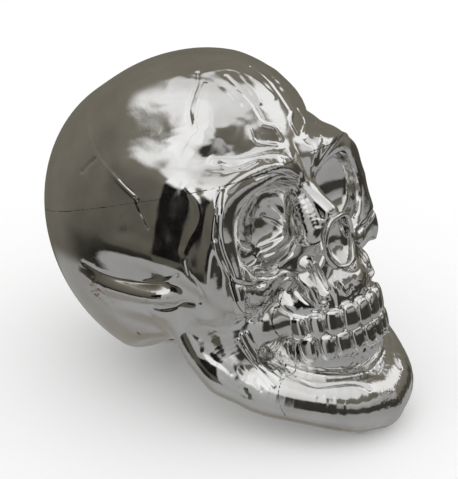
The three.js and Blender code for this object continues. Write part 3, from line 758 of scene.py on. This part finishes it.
def net(step, high):
    """Points and quads of the surface; points on the middle plane have x = 0."""
    origin = np.array([-step / 2, *LOW])
    counts = np.ceil((np.array(high) - origin) / step).astype(int) + 1
    values, cells = lattice_values(origin, counts, step)
    inside = values < 0
    known = ~np.isnan(values)
    corners = np.array(list(np.ndindex(2, 2, 2)))
    total = sum(corner_of(inside, corner, cells).astype(int) for corner in corners)
    active = np.argwhere(cells & (total > 0) & (total < 8))
    at_corners = np.stack([values[tuple((active + corner).T)] for corner in corners], 1)
    sums = np.zeros((len(active), 3))
    tally = np.zeros(len(active))
    for first, axis in np.ndindex(8, 3):
        if corners[first][axis] == 0:
            a, b = at_corners[:, first], at_corners[:, first + (4, 2, 1)[axis]]
            crossed = (a < 0) != (b < 0)
            share = np.where(crossed, a / np.where(crossed, a - b, 1), 0)
            spot = corners[first] + share[:, None] * np.eye(3)[axis]
            sums += np.where(crossed[:, None], spot, 0)
            tally += crossed
    points = origin + (active + sums / tally[:, None]) * step
    points[active[:, 0] == 0, 0] = 0
    number = np.full(cells.shape, -1)
    number[tuple(active.T)] = np.arange(len(active))
    quads = []
    for axis in range(3):
        other = [(axis + 1) % 3, (axis + 2) % 3]
        here = tuple(slice(0, -1) if n == axis else slice(None) for n in range(3))
        after = tuple(slice(1, None) if n == axis else slice(None) for n in range(3))
        edges = np.argwhere((inside[here] != inside[after]) & known[here] & known[after])
        edges = edges[(edges < cells.shape).all(1) & (edges[:, other] >= 1).all(1) & (edges[:, 0] >= 1)]
        ring = []
        for u, v in ((-1, -1), (0, -1), (0, 0), (-1, 0)):
            cell = edges.copy()
            cell[:, other[0]] += u
            cell[:, other[1]] += v
            ring.append(number[tuple(cell.T)])
        ring = np.stack(ring, 1)
        outward = inside[here][tuple(edges.T)]
        ring[~outward] = ring[~outward][:, ::-1]
        quads.append(ring[(ring >= 0).all(1)])
    return points, np.concatenate(quads)


def onto_surface(points, on_middle):
    normals, value = slope(skull_distance, points, PULL_REACH)
    points = points - normals * np.clip(value, -LONGEST_PULL, LONGEST_PULL)[:, None]
    points[on_middle, 0] = 0
    return points


def settled(points, quads):
    """The net evened out and brought onto the surface."""
    on_middle = points[:, 0] == 0
    pairs = np.concatenate([quads[:, [n, (n + turn) % 4]] for n in range(4) for turn in (1, 3)])
    for smoothing in EVENING:
        if smoothing:
            sums = np.zeros_like(points)
            np.add.at(sums, pairs[:, 0], points[pairs[:, 1]])
            mean = sums / np.bincount(pairs[:, 0], minlength=len(points))[:, None]
            points = points + smoothing * (mean - points)
        points = onto_surface(points, on_middle)
    return points


def triangles(points, quads):
    a, b, c, d = (points[quads[:, n]] for n in range(4))
    short = np.linalg.norm(a - c, axis=1) <= np.linalg.norm(b - d, axis=1)
    cut_one = quads[short][:, [0, 1, 2, 0, 2, 3]].reshape(-1, 3)
    cut_two = quads[~short][:, [0, 1, 3, 1, 2, 3]].reshape(-1, 3)
    faces = np.concatenate([cut_one, cut_two])
    return faces[(faces != np.roll(faces, 1, axis=1)).all(1)]


def directed_edges(faces):
    return np.concatenate([faces[:, [0, 1]], faces[:, [1, 2]], faces[:, [2, 0]]])


def split(points, faces, wanted):
    """Splits every edge whose two ends are both wanted, and the triangles along it."""
    edges = np.sort(directed_edges(faces), 1)
    marked = wanted[edges[:, 0]] & wanted[edges[:, 1]]
    unique, where = np.unique(edges[marked], axis=0, return_inverse=True)
    middle = np.full(len(edges), -1)
    middle[marked] = len(points) + where.reshape(-1)
    middle = middle.reshape(3, -1).T
    count = (middle >= 0).sum(1)
    made = [faces[count == 0]]
    whole = count == 3
    a, b, c = faces[whole].T
    ab, bc, ca = middle[whole].T
    made += [np.stack(t, 1) for t in ((a, ab, ca), (b, bc, ab), (c, ca, bc), (ab, bc, ca))]
    for turn in range(3):
        a, b, c = faces[:, turn], faces[:, (turn + 1) % 3], faces[:, (turn + 2) % 3]
        ab, bc = middle[:, turn], middle[:, (turn + 1) % 3]
        one = (count == 1) & (ab >= 0)
        made += [np.stack(t, 1) for t in ((a[one], ab[one], c[one]), (ab[one], b[one], c[one]))]
    return np.concatenate([points, points[unique].mean(1)]), np.concatenate(made)


def kept(points, faces, field):
    """The part of a mesh where a field over its points is positive, cut cleanly along zero."""
    values = field(points)
    values = np.where(np.abs(values) < SNAP, 0, values)
    positive = values > 0
    low = values < 0
    mixed = positive[faces].any(1) & low[faces].any(1)
    whole = ~low[faces].any(1) & positive[faces].any(1)
    new_points, cache, made = [], {}, []

    def crossing(a, b):
        key = (a, b) if a < b else (b, a)
        if key not in cache:
            share = values[key[0]] / (values[key[0]] - values[key[1]])
            cache[key] = len(points) + len(new_points)
            new_points.append(points[key[0]] * (1 - share) + points[key[1]] * share)
        return cache[key]

    for face in faces[mixed]:
        ring = []
        for here, after in zip(face, np.roll(face, -1)):
            if not low[here]:
                ring.append(here)
            if values[here] * values[after] < 0:
                ring.append(crossing(here, after))
        made += [(ring[0], ring[n], ring[n + 1]) for n in range(1, len(ring) - 1)]
    points = np.concatenate([points, np.array(new_points).reshape(-1, 3)])
    faces = np.concatenate([faces[whole], np.array(made, int).reshape(-1, 3)])
    used = np.zeros(len(points), bool)
    used[faces] = True
    return points[used], (np.cumsum(used) - 1)[faces]


def both_halves(rows, off_middle):
    """Adds the other half's places or directions, without a twin for those on the middle plane."""
    return np.concatenate([rows, rows[off_middle] * (-1, 1, 1)])


def both_halves_of_faces(faces, off_middle):
    twin = np.arange(len(off_middle))
    twin[off_middle] = len(off_middle) + np.arange(off_middle.sum())
    return np.concatenate([faces, twin[faces][:, ::-1]])


def inner_skin(points, depth):
    """Steps inward from the surface, and stops where the wall is no thicker."""
    normals, value = slope(plain_distance, points, SLOPE_REACH)
    moving = np.arange(len(points))
    inner = points.copy()
    for _ in range(WALL_STEPS):
        tried = inner[moving] - normals * depth / WALL_STEPS
        new_normals, new_value = slope(plain_distance, tried, SLOPE_REACH)
        deeper = new_value < value - LEAST_GAIN * depth / WALL_STEPS
        moving, normals, value = moving[deeper], new_normals[deeper], new_value[deeper]
        inner[moving] = tried[deeper]
    inner[points[:, 0] == 0, 0] = 0
    return inner


def rim_edges(faces):
    """Directed edges that only one triangle has."""
    edges = directed_edges(faces)
    _, first, tally = np.unique(np.sort(edges, 1), axis=0, return_index=True, return_counts=True)
    return edges[first[tally == 1]]


# Pieces


def mesh_object(name, points, faces, loop_normals=None):
    mesh = bpy.data.meshes.new(name)
    places = (np.asarray(points) + (0, CENTRING, 0)) * MM
    mesh.from_pydata(places.tolist(), [], faces)
    mesh.update()
    for polygon in mesh.polygons:
        polygon.use_smooth = True
    if loop_normals is not None:
        mesh.normals_split_custom_set(loop_normals.tolist())
    piece = bpy.data.objects.new(name, mesh)
    bpy.context.scene.collection.objects.link(piece)
    return piece


def shell_piece(name, points, faces):
    """A closed shell: the surface, its inner skin, and a rim between them."""
    off_middle = points[:, 0] != 0
    inner = inner_skin(points, WALL)
    outer_normals, _ = slope(skull_distance, points, NORMAL_REACH)
    inner_normals, _ = slope(plain_distance, inner, SLOPE_REACH)
    for normals in (outer_normals, inner_normals):
        normals[~off_middle, 0] = 0
    faces = both_halves_of_faces(faces, off_middle)
    points, inner, outer_normals, inner_normals = (
        both_halves(rows, off_middle) for rows in (points, inner, outer_normals, inner_normals)
    )
    count = len(points)
    a, b = rim_edges(faces).T
    rim = np.concatenate([np.stack([b, a, a + count], 1), np.stack([b, a + count, b + count], 1)])
    everything = np.concatenate([points, inner])
    corner = everything[rim]
    flat = np.cross(corner[:, 1] - corner[:, 0], corner[:, 2] - corner[:, 0])
    flat /= np.linalg.norm(flat, axis=1)[:, None] + TINY
    loop_normals = np.concatenate([
        outer_normals[faces].reshape(-1, 3),
        -inner_normals[faces[:, ::-1]].reshape(-1, 3),
        np.repeat(flat, 3, axis=0),
    ])
    faces = np.concatenate([faces, faces[:, ::-1] + count, rim])
    return mesh_object(name, everything, faces.tolist(), loop_normals)


def tipped(points):
    """Places along and up the frame of the seams."""
    return tilted(points[:, 1], points[:, 2], SEAM_TILT)


def face_zone(points):
    """Below zero in the part that the face shell takes: all before its seam, and the eye cups."""
    x, y, z = points.T
    ring, depth = orbit_measures(x, y, z)
    cup = socket(x, y, z, ring, depth) - WALL
    return np.minimum(tipped(points)[0] - FACE_SEAM, cup)


def crown_zone(points):
    return tipped(points)[1] - CROWN_SEAM


def by_a_line(points):
    """Which points lie on or beside a line, where the mesh is made finer."""
    beside = np.zeros(len(points), bool)
    for _, width, rows, low, high in PLACED_LINES:
        near = np.flatnonzero(within(points.T, low, high))
        beside[near] |= bones(*points[near].T, rows) < LINE_MARGIN * width
    return beside


def half_skull(step, high, areas):
    """The skull's half where x isn't below zero, made finer in each of the areas in turn."""
    points, quads = net(step, high)
    points = settled(points, quads)
    faces = triangles(points, quads)
    for area in areas:
        points, faces = split(points, faces, area(points))
    return onto_surface(points, points[:, 0] == 0), faces


def side_or_line(points):
    return within(points.T, SIDE_LOW, SIDE_HIGH) | by_a_line(points)


coarse = half_skull(SHELL_STEP, SHELL_HIGH, (side_or_line, by_a_line))
fine = half_skull(FACE_STEP, FACE_HIGH, (by_a_line,))
below = kept(*coarse, lambda points: -crown_zone(points) - HAIRLINE / 2)
front = kept(*fine, lambda points: -crown_zone(points) - HAIRLINE / 2)

crown = shell_piece("crown", *kept(*coarse, lambda points: crown_zone(points) - HAIRLINE / 2))
face = shell_piece("face", *kept(*front, lambda points: -face_zone(points) - HAIRLINE / 2))
base = shell_piece("base", *kept(*below, lambda points: face_zone(points) - HAIRLINE / 2))


def turned(name, profile, centre, sides):
    """A closed lathe piece from (radius, height) rows that start and end on the axis."""
    rows = profile[1:-1]
    points = [(*centre, profile[0][1])]
    for radius, height in rows:
        for n in range(sides):
            angle = 2 * math.pi * n / sides
            x, y = centre[0] + radius * math.cos(angle), centre[1] + radius * math.sin(angle)
            points.append((x, y, height))
    points.append((*centre, profile[-1][1]))
    faces = []
    last = 1 + (len(rows) - 1) * sides
    for n in range(sides):
        after = (n + 1) % sides
        faces.append((0, 1 + after, 1 + n))
        for low in range(1, last, sides):
            high = low + sides
            faces.append((low + n, low + after, high + after, high + n))
        faces.append((last + n, last + after, len(points) - 1))
    return mesh_object(name, points, faces)


def rest_pad(name, centre):
    inset = PAD_RADIUS - PAD_CHAMFER
    profile = [
        *PAD_DISH, (PAD_RADIUS - PAD_ROUNDING, 0), (inset, PAD_CHAMFER), (PAD_RADIUS, PAD_ROUNDING),
        (PAD_RADIUS, PAD_HEIGHT - PAD_CHAMFER), (inset, PAD_HEIGHT), (0, PAD_HEIGHT)]
    return turned(name, profile, centre, PAD_SIDES)


def stopper():
    foot, top = (corner[2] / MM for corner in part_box("base_plug"))
    flange_top = foot + FLANGE_HEIGHT
    profile = [
        (0, foot + DIMPLE_DEPTH), (DIMPLE_RADIUS, foot + DIMPLE_DEPTH),
        (DIMPLE_RADIUS + STOPPER_SLOPE, foot + DISH_DEPTH), (DISH_RADIUS - STOPPER_SLOPE, foot + DISH_DEPTH),
        (DISH_RADIUS, foot), (FLANGE_RADIUS - FLANGE_ROUNDING, foot),
        (FLANGE_RADIUS, foot + FLANGE_ROUNDING), (FLANGE_RADIUS, flange_top - FLANGE_CHAMFER),
        (FLANGE_RADIUS - FLANGE_CHAMFER, flange_top),
        (STEM_RADIUS + FLANGE_CHAMFER, flange_top), (STEM_RADIUS, flange_top + FLANGE_CHAMFER),
        (STEM_RADIUS, top - STEM_LEAD), (STEM_RADIUS - STOPPER_SLOPE, top), (BORE_RADIUS, top),
        (BORE_RADIUS, top - BORE_DEPTH), (0, top - BORE_DEPTH)]
    return turned("plug", profile, (0, STOPPER_Y), STOPPER_SIDES)


pads = [(rest_pad(name.replace("pad", "rest"), centre), name) for name, centre in PAD_PLACES.items()]
plug = stopper()


# Materials


class Graph:
    """The nodes of a material or a world, and short ways to add to them."""

    def __init__(self, owner):
        owner.use_nodes = True
        self.nodes = owner.node_tree.nodes
        self.links = owner.node_tree.links

    def fill(self, node, values):
        """Sets or links inputs, which are given by name or number."""
        for slot, value in values.items():
            if isinstance(value, bpy.types.NodeSocket):
                self.links.new(value, node.inputs[slot])
            else:
                node.inputs[slot].default_value = value

    def node(self, kind, values=None, **settings):
        made = self.nodes.new("ShaderNode" + kind)
        for setting, value in settings.items():
            setattr(made, setting, value)
        self.fill(made, values or {})
        return made

    def place_on_object(self):
        return self.node("TexCoord").outputs["Object"]

    def noise(self, where, scale, detail, rough=0.5):
        values = {"Vector": where, "Scale": scale, "Detail": detail, "Roughness": rough}
        return self.node("TexNoise", values).outputs["Fac"]

    def mapped(self, value, start, end, low, high, curve="SMOOTHSTEP"):
        values = {"Value": value, "From Min": start, "From Max": end, "To Min": low, "To Max": high}
        return self.node("MapRange", values, interpolation_type=curve).outputs["Result"]

    def maths(self, operation, *values):
        return self.node("Math", dict(enumerate(values)), operation=operation).outputs["Value"]

    def mixed(self, share, a, b):
        values = {"Factor": share, "A": a, "B": b}
        return self.node("Mix", values, data_type="RGBA").outputs["Result"]

    def ramp(self, value, rows, curve="LINEAR"):
        """Colours along a value, from rows of a position and a colour."""
        made = self.node("ValToRGB", {"Fac": value})
        made.color_ramp.interpolation = curve
        stops = made.color_ramp.elements
        while len(stops) < len(rows):
            stops.new(0.5)
        for stop, (position, colour) in zip(stops, rows):
            stop.position = position
            stop.color = (*colour, 1)
        return made.outputs["Color"]

    def bump(self, height, strength, distance, **under):
        values = {"Height": height, "Strength": strength, "Distance": distance, **under}
        return self.node("Bump", values).outputs["Normal"]

    def glossy_or_other(self, glossy, other):
        """One shader for the rays that the plating mirrors, and another for the rest."""
        is_glossy = self.node("LightPath").outputs["Is Glossy Ray"]
        return self.node("MixShader", {"Fac": is_glossy, 1: other, 2: glossy}).outputs["Shader"]


def material(name):
    made = bpy.data.materials.new(name)
    graph = Graph(made)
    return made, graph, graph.nodes["Principled BSDF"]


def scuffed(graph, where, colour):
    """The colour with red specks round the scuffs."""
    specks = graph.mapped(graph.noise(where, scale=420, detail=4), 0.5, 0.6, 0, 1)
    for (x, y, z), radius in SCUFFS:
        middle = (x * MM, (y + CENTRING) * MM, z * MM)
        apart = graph.node("VectorMath", {0: where, 1: middle}, operation="DISTANCE").outputs["Value"]
        near = graph.mapped(apart, SCUFF_CORE * radius * MM, radius * MM, 1, 0)
        colour = graph.mixed(graph.maths("MULTIPLY", near, specks), colour, SCUFF_COLOUR)
    return colour


def chrome_material():
    made, graph, shader = material("chrome_plating")
    where = graph.place_on_object()
    colour = graph.ramp(graph.noise(where, scale=60, detail=3), CHROME_COLOURS)
    waviness = graph.bump(graph.noise(where, scale=110, detail=2), strength=0.12, distance=0.4 * MM)
    peel = graph.noise(where, scale=700, detail=2)
    graph.fill(shader, {
        "Metallic": 1,
        "Base Color": scuffed(graph, where, colour),
        "Roughness": graph.mapped(graph.noise(where, scale=140, detail=4), 0.35, 0.7, *CHROME_ROUGHNESS),
        "Normal": graph.bump(peel, strength=0.25, distance=0.06 * MM, Normal=waviness),
    })
    return made


def dull_material(name, dark, light, scale, roughness, depth):
    made, graph, shader = material(name)
    where = graph.place_on_object()
    grain = graph.noise(where, scale, detail=5, rough=0.6)
    pores = graph.noise(where, scale * PORE_SCALE, detail=3)
    graph.fill(shader, {
        "Base Color": graph.ramp(grain, [(0.3, dark), (0.75, light)]),
        "Roughness": graph.mapped(grain, 0.3, 0.7, *roughness),
        "Normal": graph.bump(pores, strength=0.5, distance=depth),
    })
    return made


chrome = chrome_material()
rubber = dull_material(
    "pad_rubber", (0.018, 0.018, 0.019), (0.045, 0.045, 0.047), 900, (0.65, 0.85), 0.1 * MM
)
plastic = dull_material(
    "plug_plastic", (0.035, 0.035, 0.038), (0.06, 0.06, 0.064), 600, (0.42, 0.6), 0.08 * MM
)

DRESSED = [
    (crown, "crown_shell", "chrome_plating", chrome),
    (face, "face_shell", "chrome_plating", chrome),
    (base, "base_shell", "chrome_plating", chrome),
    (plug, "base_plug", "plug_plastic", plastic),
    *((pad, node, "pad_rubber", rubber) for pad, node in pads),
]

for piece, replaced, slot, finish in DRESSED:
    piece.data.materials.append(finish)
    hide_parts(replaced)
    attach(piece, "root")


# Studio


def warm_greys(rows):
    """Positions and colours for rows of elevation and brightness. The darker greys are warmer."""
    colours = []
    for angle, grey in rows:
        warmth = min(1, max(0, (WARM_BELOW - grey) / WARM_SPAN))
        colour = (grey, grey * (1 - WARM_GREEN * warmth), grey * (1 - WARM_BLUE * warmth))
        colours.append(((angle + 90) / 180, colour))
    return colours


def sky():
    """Greys by azimuth and elevation for the rays that the plating mirrors, and white for all others."""
    world = bpy.data.worlds.new("studio")
    bpy.context.scene.world = world
    graph = Graph(world)
    way = graph.node("SeparateXYZ", {"Vector": graph.node("TexCoord").outputs["Generated"]}).outputs
    azimuth = graph.maths("ARCTAN2", way["X"], graph.maths("MULTIPLY", way["Y"], -1))
    azimuth = graph.maths("MULTIPLY", azimuth, math.degrees(1))
    elevation = graph.maths("ARCSINE", way["Z"])
    height = graph.mapped(elevation, -math.pi / 2, math.pi / 2, 0, 1, "LINEAR")
    shade = graph.ramp(height, warm_greys(BEHIND_SECTORS), "EASE")
    for start, end, start_soft, end_soft, rows in SECTORS:
        own = graph.ramp(height, warm_greys(rows), "EASE")
        rise = graph.mapped(azimuth, start - start_soft, start + start_soft, 0, 1)
        fall = graph.mapped(azimuth, end - end_soft, end + end_soft, 1, 0)
        shade = graph.mixed(graph.maths("MULTIPLY", rise, fall), shade, own)
    plain, mirrored = graph.nodes["Background"], graph.node("Background", {"Color": shade})
    graph.fill(plain, {"Color": WHITE})
    surface = graph.glossy_or_other(mirrored.outputs["Background"], plain.outputs["Background"])
    graph.fill(graph.nodes["World Output"], {"Surface": surface})


def floor():
    """A pale floor that takes the shadow, and that the plating doesn't mirror."""
    made, graph, shader = material("pale_floor")
    graph.fill(shader, {"Base Color": FLOOR_COLOUR, "Roughness": FLOOR_ROUGHNESS, "Specular IOR Level": 0})
    glow = graph.node("Emission", {"Color": WHITE, "Strength": FLOOR_GLOW})
    lit = graph.node("AddShader", {0: shader.outputs["BSDF"], 1: glow.outputs["Emission"]})
    surface = graph.glossy_or_other(graph.node("BsdfTransparent").outputs["BSDF"], lit.outputs["Shader"])
    graph.fill(graph.nodes["Material Output"], {"Surface": surface})
    corners = [(x * FLOOR_REACH, y * FLOOR_REACH, 0) for x, y in ((-1, -1), (1, -1), (1, 1), (-1, 1))]
    piece = mesh_object("floor", corners, [(0, 1, 2, 3)])
    piece.data.materials.append(made)


def camera():
    target = Vector((0, CENTRING * MM, VIEW_HEIGHT * MM))
    away = Vector(camera_axes()[0])
    data = bpy.data.cameras.new("camera")
    data.sensor_width = SENSOR_WIDTH
    data.lens = SENSOR_WIDTH * FOCAL_LENGTH / PICTURE_HEIGHT
    viewer = bpy.data.objects.new("camera", data)
    viewer.location = target + away * VIEW_DISTANCE * MM
    viewer.rotation_euler = away.to_track_quat("Z", "Y").to_euler()
    bpy.context.scene.collection.objects.link(viewer)
    bpy.context.scene.camera = viewer


sky()
floor()
camera()
bpy.context.scene.view_settings.view_transform = "Standard"
